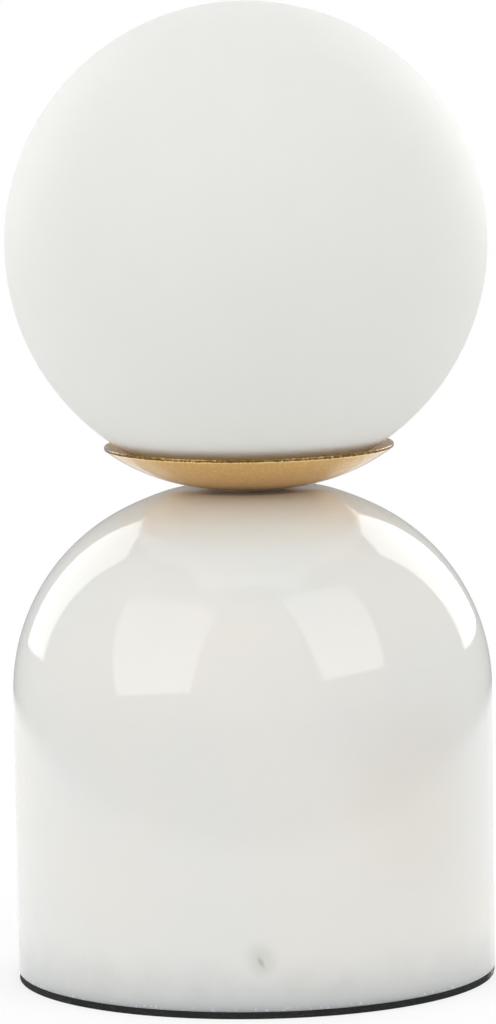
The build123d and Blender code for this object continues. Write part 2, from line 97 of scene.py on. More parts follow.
class GlobeLampSizes(bpy.types.PropertyGroup):
    """Sizes of the visible pieces, in metres."""

    seat_radius: length("Seat radius", 12 * MM, "Flat on top of the marble dome")
    crown_fullness: length("Crown fullness", 0.7 * MM, "How far the stone stands over a plain arc beside its seat")
    stone_edge: length("Stone edge", 0.6 * MM, "Round at the marble's bottom edge")
    rebate_radius: length("Rebate radius", 49.5 * MM, "Recess under the stone for the cover")
    rebate_depth: length("Rebate depth", 3 * MM, "Depth of that recess")
    chamber_radius: length("Chamber radius", 45 * MM, "Hollow in the stone")
    chamber_top: length("Chamber top", 95 * MM, "Height of that hollow's ceiling")
    tube_hole: length("Tube hole", 5.5 * MM, "Radius of the hole for the threaded tube")
    cable_hole: length("Cable hole", 5.1 * MM, "Radius of the hole behind the gland")
    spot_face: length("Spot face", 8.3 * MM, "Radius of the recess round the gland")
    dish_flat: length("Dish flat", 7.6 * MM, "Radius of the flat in the middle of the dish")
    dish_arc: length("Dish arc", 63.4 * MM, "Radius of the dish's underside")
    dish_sheet: length("Dish sheet", 0.8 * MM, "Thickness of the spun sheet")
    dish_edge: length("Dish edge", 0.25 * MM, "Round on the dish's rim")
    dish_bead: length("Dish bead", 0.2 * MM, "How far the rim's burr stands over the sheet")
    glass_wall: length("Glass wall", 3 * MM, "Thickness of the globe")
    mouth_radius: length("Mouth radius", 21.1 * MM, "Outside of the ground ring at the globe's mouth")
    neck_radius: length("Neck radius", 15.3 * MM, "Inside of the globe's neck")
    neck_wall: length("Neck wall", 3.2 * MM, "Thickness of the globe's neck")
    neck_height: length("Neck height", 10.7 * MM, "Height of the globe's neck")
    thread_pitch: length("Thread pitch", 3 * MM, "Rise of the sleeve's coarse thread in one turn")
    thread_depth: length("Thread depth", 0.65 * MM, "Depth of that thread")
    turn_steps: IntProperty(name="Turn steps", default=384, min=48, description="Sides of the large round pieces")


class GlobeLampColours(bpy.types.PropertyGroup):
    """Main colours of the finishes."""

    marble: colour("Marble", "#E4E2DD", "White marble")
    marble_cool: colour("Marble cool", "#DFE0DE", "Cool grey clouds in the marble")
    opal: colour("Opal glass", "#F3F4EA", "Opal glass")
    gold: colour("Gold", "#F0C470", "Gold finish of the dish")
    foam: colour("Foam", "#26282A", "Black foam of the foot pad")


def sizes():
    return bpy.context.scene.globe_lamp_sizes


def colours():
    return bpy.context.scene.globe_lamp_colours


# ---------------------------------------------------------------- modelling helpers
def only(piece):
    """Select one object alone and make it the active one."""
    bpy.ops.object.select_all(action="DESELECT")
    piece.select_set(True)
    bpy.context.view_layer.objects.active = piece


def edit(piece):
    """Enter edit mode on one piece with everything in it selected."""
    only(piece)
    bpy.ops.object.mode_set(mode="EDIT")
    bpy.ops.mesh.select_mode(type="VERT")
    bpy.ops.mesh.select_all(action="SELECT")


def leave_edit():
    bpy.ops.object.mode_set(mode="OBJECT")


def pick(kind, test):
    """In edit mode, select only the faces, edges or vertices that pass a test."""
    bpy.ops.mesh.select_mode(type=kind)
    bpy.ops.mesh.select_all(action="DESELECT")
    data = bpy.context.edit_object.data
    mesh = bmesh.from_edit_mesh(data)
    items = {"FACE": mesh.faces, "EDGE": mesh.edges, "VERT": mesh.verts}[kind]
    for item in items:
        item.select_set(test(item))
    mesh.select_flush_mode()
    bmesh.update_edit_mesh(data)


def span(item):
    """Lowest and highest Z of an edge or face."""
    heights = [vertex.co.z for vertex in item.verts]
    return min(heights), max(heights)


def at_height(height, tolerance=0.01 * MM):
    """Test for edges or faces that lie flat at one height."""

    def test(item):
        low, high = span(item)
        return abs(low - height) < tolerance and abs(high - height) < tolerance

    return test


def cap_at(height):
    """Test for a flat face at one height that covers the axis."""
    flat = at_height(height)
    return lambda face: flat(face) and face.calc_center_median().xy.length < 0.1 * MM and len(face.verts) > 8


def settle(piece, name):
    """Put a piece's place into its mesh, so that its object sits at the origin, and name it."""
    only(piece)
    bpy.ops.object.transform_apply(location=True, rotation=True, scale=True)
    piece.name = name
    piece.data.name = name


def smooth(piece, angle=30):
    only(piece)
    bpy.ops.object.shade_smooth_by_angle(angle=math.radians(angle))


def add_modifier(piece, kind, **settings):
    """Add a modifier to a piece, set it and apply it."""
    only(piece)
    modifier = piece.modifiers.new(kind.title(), kind)
    for key, value in settings.items():
        setattr(modifier, key, value)
    bpy.ops.object.modifier_apply(modifier=modifier.name)


def turned(name, outline, steps):
    """Solid of revolution about Z, drawn point by point as (radius, height) and then spun."""
    bpy.ops.object.select_all(action="DESELECT")
    start = Vector((outline[0][0], 0, outline[0][1]))
    bpy.ops.mesh.primitive_plane_add(size=1 * MM, location=start)
    piece = bpy.context.object
    settle(piece, name)
    edit(piece)
    bpy.ops.mesh.merge(type="CENTER")
    for before, after in zip(outline, outline[1:]):
        step = (after[0] - before[0], 0, after[1] - before[1])
        bpy.ops.mesh.extrude_region_move(TRANSFORM_OT_translate={"value": step})
    bpy.ops.mesh.select_all(action="SELECT")
    bpy.ops.mesh.spin(steps=steps, angle=math.tau, center=(0, 0, 0), axis=(0, 0, 1))
    bpy.ops.mesh.select_all(action="SELECT")
    bpy.ops.mesh.remove_doubles(threshold=0.002 * MM)
    bpy.ops.mesh.delete_loose()
    bpy.ops.mesh.select_all(action="SELECT")
    bpy.ops.mesh.normals_make_consistent(inside=False)
    leave_edit()
    smooth(piece)
    return piece


def arc(centre, radius, start, end, pieces):
    """Points on an arc in the (radius, height) plane; angles in degrees from the outward direction."""
    angles = [math.radians(start + (end - start) * step / pieces) for step in range(pieces + 1)]
    return [(centre[0] + radius * math.cos(a), centre[1] + radius * math.sin(a)) for a in angles]


def refined(node, name, edge=0.0, angle=35):
    """Merged, smooth copy of a CAD node, with its sharp edges rounded."""
    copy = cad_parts[node].copy()
    copy.data = copy.data.copy()
    for key in list(copy.keys()):
        del copy[key]
    copy.parent = None
    bpy.context.scene.collection.objects.link(copy)
    edit(copy)
    bpy.ops.mesh.remove_doubles(threshold=0.001 * MM)
    bpy.ops.mesh.customdata_custom_splitnormals_clear()
    bpy.ops.mesh.dissolve_limited(angle_limit=math.radians(0.5))
    leave_edit()
    if edge:
        add_modifier(
            copy, "BEVEL", width=edge, segments=2, limit_method="ANGLE", angle_limit=math.radians(angle),
            use_clamp_overlap=True, harden_normals=False,
        )
    smooth(copy, angle)
    settle(copy, name)
    return copy


def dress(piece, material, body, slot_name, *nodes):
    """Give a piece its one material and its body, and hide the CAD nodes that it stands for. The slot name is not used.
    """
    piece.data.materials.clear()
    piece.data.materials.append(material)
    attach(piece, body)
    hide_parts(*nodes)


# ---------------------------------------------------------------- material helpers
def add_node(tree, kind, sockets=None, stops=None, **settings):
    """Add a node with its settings, its socket values or links, and its colour stops."""
    made = tree.nodes.new(kind)
    for key, value in settings.items():
        setattr(made, key, value)
    for socket, value in (sockets or {}).items():
        if isinstance(value, bpy.types.NodeSocket):
            tree.links.new(value, made.inputs[socket])
        else:
            made.inputs[socket].default_value = value
    if stops:
        ramp = made.color_ramp
        while len(ramp.elements) < len(stops):
            ramp.elements.new(0.5)
        for element, (place, shade) in zip(ramp.elements, stops):
            element.position = place
            element.color = shade
    return made


def new_material(name, **surface):
    """Material with a plain Principled shader; returns it, its tree, the shader and the object coordinates."""
    material = bpy.data.materials.new(name)
    material.use_nodes = True
    tree = material.node_tree
    tree.nodes.clear()
    sockets = {key.replace("_", " "): value for key, value in surface.items()}
    shader = add_node(tree, "ShaderNodeBsdfPrincipled", sockets)
    add_node(tree, "ShaderNodeOutputMaterial", {"Surface": shader.outputs["BSDF"]})
    place = add_node(tree, "ShaderNodeTexCoord").outputs["Object"]
    return material, tree, shader, place


def per_size(size):
    """Texture scale that gives features of about a size in metres."""
    return 1.0 / size


def rgba(shade):
    return (*shade, 1.0)


# ---------------------------------------------------------------- materials
def faded_spot(tree, place, centre, radius, strength, wobble=0.0, **turn):
    """Soft-edged mask round a point, both in metres; wobble makes its edge uneven by that share of the radius."""
    moved = add_node(tree, "ShaderNodeVectorMath", {0: place, 1: centre}, operation="SUBTRACT").outputs[0]
    scaled = add_node(
        tree, "ShaderNodeMapping", {"Vector": moved, "Scale": tuple(1 / size for size in radius), **turn},
        vector_type="TEXTURE" if turn else "POINT",
    )
    if turn:
        scaled.inputs["Scale"].default_value = radius
    away = add_node(tree, "ShaderNodeVectorMath", {0: scaled.outputs[0]}, operation="LENGTH").outputs["Value"]
    if wobble:
        bend = add_node(
            tree, "ShaderNodeTexNoise", {"Vector": place, "Scale": per_size(max(radius)), "Detail": 4.0}
        ).outputs["Fac"]
        away = add_node(tree, "ShaderNodeMath", {0: bend, 1: wobble, 2: away}, operation="MULTIPLY_ADD").outputs[0]
    return add_node(
        tree, "ShaderNodeMapRange",
        {"Value": away, "From Min": 0.15 + wobble / 2, "From Max": 1.0 + wobble / 2, "To Min": strength, "To Max": 0.0},
        interpolation_type="SMOOTHSTEP",
    ).outputs[0]


def tinted(tree, mask, below, code):
    """Lay a colour over another one where a mask says."""
    return add_node(tree, "ShaderNodeMix", {0: mask, 6: below, 7: linear(code)}, data_type="RGBA").outputs[2]


def polished_marble():
    """White marble, turned and polished: dense and milky, faintly clouded, with a wet-looking gloss.

    The stone carries a painted shade, blue-grey towards its foot, where it stands on its black pad.
    """
    material, tree, shader, place = new_material(
        "polished_white_marble", Roughness=0.07, IOR=1.58, Subsurface_Weight=1.0, Subsurface_Scale=16 * MM
    )
    shader.inputs["Subsurface Radius"].default_value = (1.0, 0.95, 0.88)
    clouds = add_node(
        tree, "ShaderNodeTexNoise", {"Vector": place, "Scale": per_size(55 * MM), "Detail": 5.0, "Roughness": 0.5}
    ).outputs["Fac"]
    warm, cool = rgba(colours().marble), rgba(colours().marble_cool)
    shade = add_node(tree, "ShaderNodeValToRGB", {"Fac": clouds}, stops=[(0.3, cool), (0.65, warm)]).outputs["Color"]
    cream = faded_spot(tree, place, (0.05, -0.055, 0.066), (0.036, 0.036, 0.045), 0.4, wobble=0.5)
    shade = tinted(tree, cream, shade, "#E0D9CF")
    # painted light: the stone round the dish's seat is whitened to lift the shade that the dish casts on it
    crown = faded_spot(tree, place, (0, 0, node_top("marble_base")), (46 * MM, 46 * MM, 30 * MM), 1.0)
    shade = tinted(tree, crown, shade, "#F5F4F3")

    height = add_node(tree, "ShaderNodeSeparateXYZ", {"Vector": place}).outputs["Z"]
    wisps = add_node(
        tree, "ShaderNodeTexNoise", {"Vector": place, "Scale": per_size(14 * MM), "Detail": 5.0, "Roughness": 0.6}
    ).outputs["Fac"]
    raised = add_node(
        tree, "ShaderNodeMath", {0: wisps, 1: -14 * MM, 2: height}, operation="MULTIPLY_ADD"
    ).outputs[0]
    # the noise is 0.5 on average, so this value is about 7 mm less than the height over the floor
    painted_foot_shade = add_node(
        tree, "ShaderNodeMapRange",
        {"Value": raised, "From Min": -6 * MM, "From Max": 14 * MM, "To Min": 0.6, "To Max": 0.0},
        interpolation_type="SMOOTHSTEP",
    ).outputs[0]
    # painted shade: blue-grey laid over the stone's lowest 20 mm or so, with a wavy edge, as shade near the black pad
    shade = tinted(tree, painted_foot_shade, shade, "#BFC3C2")

    halo = faded_spot(tree, place, (0.0012, -0.075, 0.0185), (6 * MM, 6 * MM, 7 * MM), 0.32, wobble=0.6)
    shade = tinted(tree, halo, shade, "#B4B6AE")
    core = faded_spot(
        tree, place, (0.0012, -0.075, 0.0175), (1.1 * MM, 3 * MM, 2.6 * MM), 0.55, Rotation=(0, math.radians(-28), 0)
    )
    shade = tinted(tree, core, shade, "#A2A49C")

    chips = add_node(
        tree, "ShaderNodeTexNoise", {"Vector": place, "Scale": per_size(1.3 * MM), "Detail": 2.0}
    ).outputs["Fac"]
    chipped = add_node(
        tree, "ShaderNodeMapRange", {"Value": chips, "From Min": 0.6, "From Max": 0.66, "To Min": 0.0, "To Max": 0.8}
    ).outputs[0]
    foot = node_bottom("marble_base")
    near_edge = add_node(
        tree, "ShaderNodeMapRange",
        {"Value": height, "From Min": foot + 0.7 * MM, "From Max": foot + 1.6 * MM, "To Min": 1.0, "To Max": 0.0},
    ).outputs[0]
    chipped = add_node(tree, "ShaderNodeMath", {0: chipped, 1: near_edge}, operation="MULTIPLY").outputs[0]
    shade = tinted(tree, chipped, shade, "#F6F8F8")
    tree.links.new(shade, shader.inputs["Base Color"])
    return material


def foot_foam():
    """Closed-cell EVA foam, cut from sheet: matt black with fine cells, dusty and scuffed at its right end."""
    material, tree, shader, place = new_material("eva_foam", Roughness=0.9, Specular_IOR_Level=0.3)
    cells = add_node(tree, "ShaderNodeTexVoronoi", {"Vector": place, "Scale": per_size(0.6 * MM)}).outputs["Distance"]
    shade = add_node(
        tree, "ShaderNodeValToRGB", {"Fac": cells}, stops=[(0.0, linear("#1A1C1E")), (0.8, rgba(colours().foam))]
    ).outputs["Color"]
    flat = add_node(tree, "ShaderNodeMapping", {"Vector": place, "Scale": (1, 1, 3)}).outputs[0]
    dust = add_node(
        tree, "ShaderNodeTexNoise", {"Vector": flat, "Scale": per_size(2.2 * MM), "Detail": 4.0, "Roughness": 0.7}
    ).outputs["Fac"]
    dusty = add_node(
        tree, "ShaderNodeMapRange", {"Value": dust, "From Min": 0.56, "From Max": 0.7, "To Min": 0.0, "To Max": 0.3}
    ).outputs[0]
    shade = tinted(tree, dusty, shade, "#5E6464")
    scuffed = add_node(
        tree, "ShaderNodeMapRange", {"Value": dust, "From Min": 0.42, "From Max": 0.58, "To Min": 0.0, "To Max": 1.0}
    ).outputs[0]
    right_end = faded_spot(tree, place, (0.0745, -0.008, 0.001), (7 * MM, 16 * MM, 10 * MM), 1.0)
    scuffed = add_node(tree, "ShaderNodeMath", {0: scuffed, 1: right_end}, operation="MULTIPLY").outputs[0]
    shade = tinted(tree, scuffed, shade, "#B4B1A6")
    tree.links.new(shade, shader.inputs["Base Color"])
    bump = add_node(tree, "ShaderNodeBump", {"Height": cells, "Strength": 0.5, "Distance": 0.1 * MM})
    tree.links.new(bump.outputs["Normal"], shader.inputs["Normal"])
    return material


def lacquered_gold():
    """Spun sheet, gold plated and lacquered: a satin metal with a very fine grain under a clear glossy coat.

    The rim was trimmed and polished, so it is glossier; its colour carries a painted reflection, darker on its flat
    face and brighter along its lower corner, with painted glints in flecks.
    The grain is drawn coarser than the real one, which is too fine to show.
    """
    material, tree, shader, place = new_material("lacquered_gold", Metallic=1.0, Coat_Weight=1.0, Coat_Roughness=0.12)
    grain = add_node(
        tree, "ShaderNodeTexNoise", {"Vector": place, "Scale": per_size(0.9 * MM), "Detail": 3.0, "Roughness": 0.75}
    ).outputs["Fac"]
    shade = add_node(
        tree, "ShaderNodeValToRGB", {"Fac": grain},
        stops=[(0.3, linear("#EBBB62")), (0.5, rgba(colours().gold)), (0.7, linear("#FFD888"))],
    ).outputs["Color"]
    across = add_node(tree, "ShaderNodeVectorMath", {0: place, 1: (1, 1, 0)}, operation="MULTIPLY").outputs[0]
    out = add_node(tree, "ShaderNodeVectorMath", {0: across}, operation="LENGTH").outputs["Value"]
    edge = node_radius("gold_dish")
    rim = add_node(
        tree, "ShaderNodeMapRange",
        {"Value": out, "From Min": edge - 0.4 * MM, "From Max": edge - 0.2 * MM, "To Min": 0.0, "To Max": 1.0},
    ).outputs[0]
    flecks = add_node(
        tree, "ShaderNodeTexNoise", {"Vector": place, "Scale": per_size(1.0 * MM), "Detail": 3.0, "Roughness": 0.8}
    ).outputs["Fac"]
    height = add_node(tree, "ShaderNodeSeparateXYZ", {"Vector": place}).outputs["Z"]
    face = node_top("gold_dish") - 0.55 * MM
    # painted reflection and glints: the flecks are brightest along the lower corner of the rim, as if it mirrored the
    # white floor, and darkest on its flat face, as if it mirrored the dim room
    level = add_node(
        tree, "ShaderNodeMapRange",
        {"Value": height, "From Min": face - 0.3 * MM, "From Max": face, "To Min": 0.2, "To Max": -0.04},
    ).outputs[0]
    level = add_node(tree, "ShaderNodeMath", {0: flecks, 1: level}, operation="ADD").outputs[0]
    painted_rim_reflection = add_node(
        tree, "ShaderNodeValToRGB", {"Fac": level},
        stops=[(0.38, linear("#8A5C14")), (0.5, linear("#C08A2E")), (0.6, linear("#FFE7A0"))],
    ).outputs["Color"]
    shade = add_node(tree, "ShaderNodeMix", {0: rim, 6: shade, 7: painted_rim_reflection}, data_type="RGBA").outputs[2]
    tree.links.new(shade, shader.inputs["Base Color"])
    rough = add_node(
        tree, "ShaderNodeMapRange", {"Value": rim, "To Min": 0.46, "To Max": 0.22}
    ).outputs[0]
    tree.links.new(rough, shader.inputs["Roughness"])
    bump = add_node(tree, "ShaderNodeBump", {"Height": grain, "Strength": 0.2, "Distance": 0.03 * MM})
    tree.links.new(bump.outputs["Normal"], shader.inputs["Normal"])
    return material


def opal_glass():
    """Mouth-blown opal glass, etched outside: milky right through, so that light spreads in it, and satin-matt."""
    material, tree, shader, place = new_material(
        "etched_opal_glass", Roughness=0.6, IOR=1.5, Subsurface_Weight=1.0, Subsurface_Scale=8 * MM
    )
    shader.inputs["Subsurface Radius"].default_value = (1.0, 1.0, 0.96)
    haze = add_node(
        tree, "ShaderNodeTexNoise", {"Vector": place, "Scale": per_size(70 * MM), "Detail": 2.0, "Roughness": 0.5}
    ).outputs["Fac"]
    shade = add_node(
        tree, "ShaderNodeValToRGB", {"Fac": haze}, stops=[(0.3, linear("#F0F1E6")), (0.7, rgba(colours().opal))]
    ).outputs["Color"]
    tree.links.new(shade, shader.inputs["Base Color"])
    etch = add_node(tree, "ShaderNodeTexNoise", {"Vector": place, "Scale": per_size(0.8 * MM), "Detail": 1.0})
    bump = add_node(tree, "ShaderNodeBump", {"Height": etch.outputs["Fac"], "Strength": 0.05, "Distance": 0.05 * MM})
    tree.links.new(bump.outputs["Normal"], shader.inputs["Normal"])
    return material


def grained(name, dark, light, grain, bump_depth, **surface):
    """Plain material with two close shades in a grain of a real size, and a little bump."""
    material, tree, shader, place = new_material(name, **surface)
    noise = add_node(
        tree, "ShaderNodeTexNoise", {"Vector": place, "Scale": per_size(grain), "Detail": 3.0, "Roughness": 0.6}
    )
    shade = add_node(
        tree, "ShaderNodeValToRGB", {"Fac": noise.outputs["Fac"]}, stops=[(0.3, linear(dark)), (0.7, linear(light))]
    )
    tree.links.new(shade.outputs["Color"], shader.inputs["Base Color"])
    bump = add_node(tree, "ShaderNodeBump", {"Height": noise.outputs["Fac"], "Strength": 0.3, "Distance": bump_depth})
    tree.links.new(bump.outputs["Normal"], shader.inputs["Normal"])
    return material


def finish(name):
    """A finish by its short name, made once."""
    makers = {
        "marble": polished_marble,
        "foam": foot_foam,
        "gold": lacquered_gold,
        "opal": opal_glass,
        # zinc plate: pale blue-grey and slightly cloudy
        "zinc": lambda: grained(
            "zinc_plated_steel", "#9EA2A4", "#C3C6C8", 1.2 * MM, 0.02 * MM, Metallic=1.0, Roughness=0.32
        ),
        # half-hard brass strip and rod, unpolished
        "brass": lambda: grained("brass_strip", "#B08D4C", "#D2B06C", 0.8 * MM, 0.02 * MM, Metallic=1.0, Roughness=0.3),
        # steatite: dense unglazed ceramic, warm white and matt
        "steatite": lambda: grained("steatite", "#D9D5CA", "#EAE7DF", 0.7 * MM, 0.05 * MM, Roughness=0.6),
        # nylon mouldings: off-white, a soft sheen
        "nylon": lambda: grained("moulded_nylon", "#D8D6CE", "#E6E4DD", 1.5 * MM, 0.02 * MM, Roughness=0.42),
        # silicone rubber: milky and slightly clear
        "silicone": lambda: grained(
            "silicone_rubber", "#D5D6D2", "#E4E5E2", 1.5 * MM, 0.02 * MM, Roughness=0.5, Transmission_Weight=0.3
        ),
        # pressed wood fibre, dyed dark
        "board": lambda: grained("fibreboard", "#1E1B18", "#3A342E", 0.5 * MM, 0.1 * MM, Roughness=0.85),
        # clear vinyl disc
        "vinyl": lambda: grained(
            "clear_vinyl", "#F2E9D6", "#F8F1E2", 2 * MM, 0.01 * MM, Roughness=0.3, Transmission_Weight=0.3
        ),
        # blown clear glass of the bulb
        "clear_glass": lambda: grained(
            "clear_bulb_glass", "#F4F6F6", "#FFFFFF", 5 * MM, 0.01 * MM,
            Roughness=0.03, Transmission_Weight=1.0, IOR=1.47,
        ),
        # phosphor-filled resin over the light chips
        "phosphor": lambda: grained("phosphor_resin", "#E0B030", "#F2CC58", 0.5 * MM, 0.03 * MM, Roughness=0.4),
        # the leads' insulation: soft and slightly glossy
        "brown_pvc": lambda: grained("brown_insulation", "#4A2A1A", "#5E3825", 1 * MM, 0.02 * MM, Roughness=0.45),
        "blue_pvc": lambda: grained("blue_insulation", "#1F4E9A", "#2C60B4", 1 * MM, 0.02 * MM, Roughness=0.45),
    }
    made = bpy.data.materials.get("finish_" + name)
    if made is None:
        made = makers[name]()
        made.name = "finish_" + name
    return made


# ---------------------------------------------------------------- stage
CAMERA_PLACE = (0.0, -1.8704, 0.3684)
CAMERA_AIM = (-0.000328, 0.992982, -0.118151)
CAMERA_ROLL = -0.0156
CAMERA_LENS = 212.0
SENSOR = 36.0
ROOM_LIGHT = 0.67
ROOM_MIRRORED = 0.4
FLOOR_SIZE = 8.0
FLOOR_DROP = 0.05 * MM
PATCH_CENTRE = (0, 0.125, 0)  # of the floor's patch that mirrors see lit
PATCH_INNER = 0.47
PATCH_OUTER = 0.53


def soft_light(name, place, aim, roll, size, radiance, fade=0.0):
    """Rectangular softbox at a place, aimed along a direction and rolled about it in degrees.

    Radiance 1 is the brightness of plain white. The cloth is brighter by the share fade at its lower
    edge and dimmer by as much at its upper edge.
    """
    data = bpy.data.lights.new(name, "AREA")
    data.shape = "RECTANGLE"
    data.size, data.size_y = size
    data.energy = math.pi * data.size * data.size_y * radiance
    light = bpy.data.objects.new(name, data)
    bpy.context.scene.collection.objects.link(light)
    turn = Vector(aim).to_track_quat("-Z", "Y").to_matrix() @ Matrix.Rotation(math.radians(roll), 3, "Z")
    light.matrix_world = Matrix.Translation(place) @ turn.to_4x4()
    data.use_nodes = True
    tree = data.node_tree
    tree.nodes.clear()
    across = add_node(tree, "ShaderNodeNewGeometry").outputs["Parametric"]
    upward = add_node(tree, "ShaderNodeSeparateXYZ", {"Vector": across}).outputs["Y"]
    level = add_node(
        tree, "ShaderNodeMapRange", {"Value": upward, "To Min": 1.0 + fade, "To Max": 1.0 - fade}
    ).outputs[0]
    cloth = add_node(tree, "ShaderNodeEmission", {"Strength": level}).outputs[0]
    add_node(tree, "ShaderNodeOutputLight", {"Surface": cloth})


class LAMP_OT_stage(bpy.types.Operator):
    """Camera, floor, soft studio lights and white surroundings"""

    bl_idname = "globe_lamp.stage"
    bl_label = "Stage"

    def execute(self, context):
        context.scene.view_settings.view_transform = "Standard"
        self.camera(context.scene)
        self.floor(context)
        self.room(context.scene)
        soft_light("front_left", (-1.13, -0.88, 0.84), (0.62, 0.47, -0.63), 10.7, (1.29, 1.48), 1.25, fade=0.4)
        soft_light("front_right", (1.04, -0.77, 1.07), (-0.43, 0.69, -0.58), 7.3, (1.05, 1.36), 1.32, fade=0.4)
        soft_light("rear_left", (-0.94, 1.04, 0.65), (0.59, -0.54, -0.59), 9.0, (0.73, 1.17), 1.7)
        soft_light("rear_right", (0.84, 1.09, 0.73), (-0.50, -0.83, -0.23), -7.6, (0.81, 1.17), 2.1)
        soft_light("top", (0.0, 0.0, 2.0), (0.0, 0.0, -1.0), 0.0, (1.4, 1.4), 0.6)
        return {"FINISHED"}

    def camera(self, scene):
        data = bpy.data.cameras.new("camera")
        data.lens = CAMERA_LENS
        data.sensor_width = SENSOR
        data.clip_end = 20
        camera = bpy.data.objects.new("camera", data)
        scene.collection.objects.link(camera)
        turn = Vector(CAMERA_AIM).to_track_quat("-Z", "Y").to_matrix() @ Matrix.Rotation(CAMERA_ROLL, 3, "Z")
        camera.matrix_world = Matrix.Translation(CAMERA_PLACE) @ turn.to_4x4()
        scene.camera = camera

    def floor(self, context):
        """White paper; the camera sees it fade into the white room, and mirrors see a lit patch round the lamp.

        It lies a hair under the pad and is clear from below, so that the lamp's underside can be looked at.
        """
        bpy.ops.object.select_all(action="DESELECT")
        bpy.ops.mesh.primitive_plane_add(size=FLOOR_SIZE, location=(0, 0, -FLOOR_DROP))
        floor = context.object
        settle(floor, "floor")
        material = bpy.data.materials.new("white_floor")
        material.use_nodes = True
        tree = material.node_tree
        tree.nodes.clear()
        place = add_node(tree, "ShaderNodeTexCoord").outputs["Object"]
        away = add_node(tree, "ShaderNodeVectorMath", {0: place}, operation="LENGTH").outputs["Value"]
        faded = add_node(
            tree, "ShaderNodeMapRange", {"Value": away, "From Min": 0.12, "From Max": 0.6, "To Min": 0.7, "To Max": 1.0}
        ).outputs[0]
        patch = add_node(
            tree, "ShaderNodeVectorMath", {0: place, 1: PATCH_CENTRE}, operation="DISTANCE"
        ).outputs["Value"]
        dimmer = add_node(
            tree, "ShaderNodeMapRange",
            {
                "Value": patch, "From Min": PATCH_INNER, "From Max": PATCH_OUTER,
                "To Min": 0.0, "To Max": ROOM_MIRRORED - 1.0,
            },
        ).outputs[0]
        rays = add_node(tree, "ShaderNodeLightPath").outputs
        strength = add_node(
            tree, "ShaderNodeMath", {0: rays["Is Glossy Ray"], 1: dimmer, 2: 1.0}, operation="MULTIPLY_ADD"
        ).outputs[0]
        seen = add_node(tree, "ShaderNodeMath", {0: rays["Is Camera Ray"], 1: faded}, operation="MULTIPLY").outputs[0]
        share = add_node(tree, "ShaderNodeMath", {0: seen, 1: rays["Is Glossy Ray"]}, operation="MAXIMUM").outputs[0]
        share = add_node(
            tree, "ShaderNodeMath", {0: share, 1: rays["Is Transmission Ray"]}, operation="MAXIMUM"
        ).outputs[0]
        paper = add_node(tree, "ShaderNodeBsdfDiffuse", {"Color": linear("#F4F4F4")}).outputs[0]
        glow = add_node(tree, "ShaderNodeEmission", {"Color": linear("#FFFFFF"), "Strength": strength}).outputs[0]
        mixed = add_node(tree, "ShaderNodeMixShader", {0: share, 1: paper, 2: glow}).outputs[0]
        below = add_node(tree, "ShaderNodeNewGeometry").outputs["Backfacing"]
        clear = add_node(
            tree, "ShaderNodeMath", {0: below, 1: rays["Is Camera Ray"]}, operation="MULTIPLY"
        ).outputs[0]
        glass = add_node(tree, "ShaderNodeBsdfTransparent").outputs[0]
        mixed = add_node(tree, "ShaderNodeMixShader", {0: clear, 1: mixed, 2: glass}).outputs[0]
        add_node(tree, "ShaderNodeOutputMaterial", {"Surface": mixed})
        floor.data.materials.append(material)

    def room(self, scene):
        """White to the camera and through glass, dimmer in mirrors, and a soft fill for the rest."""
        world = bpy.data.worlds.new("white_room")
        scene.world = world
        world.use_nodes = True
        tree = world.node_tree
        tree.nodes.clear()
        rays = add_node(tree, "ShaderNodeLightPath").outputs
        seen = add_node(
            tree, "ShaderNodeMath", {0: rays["Is Camera Ray"], 1: rays["Is Transmission Ray"]}, operation="MAXIMUM"
        ).outputs[0]
        fill, mirrored, plain = (
            add_node(tree, "ShaderNodeBackground", {"Color": linear("#FFFFFF"), "Strength": level}).outputs[0]
            for level in (ROOM_LIGHT, ROOM_MIRRORED, 1.0)
        )
        unseen = add_node(tree, "ShaderNodeMixShader", {0: rays["Is Glossy Ray"], 1: fill, 2: mirrored}).outputs[0]
        mixed = add_node(tree, "ShaderNodeMixShader", {0: seen, 1: unseen, 2: plain}).outputs[0]
        add_node(tree, "ShaderNodeOutputWorld", {"Surface": mixed})


# ---------------------------------------------------------------- the visible pieces
CROWN_FULLEST = 23.5 * MM  # distance from the axis at which the stone stands highest over a plain arc
CROWN_SPREAD = 8.5 * MM
SLEEVE_BORE = 5.05 * MM


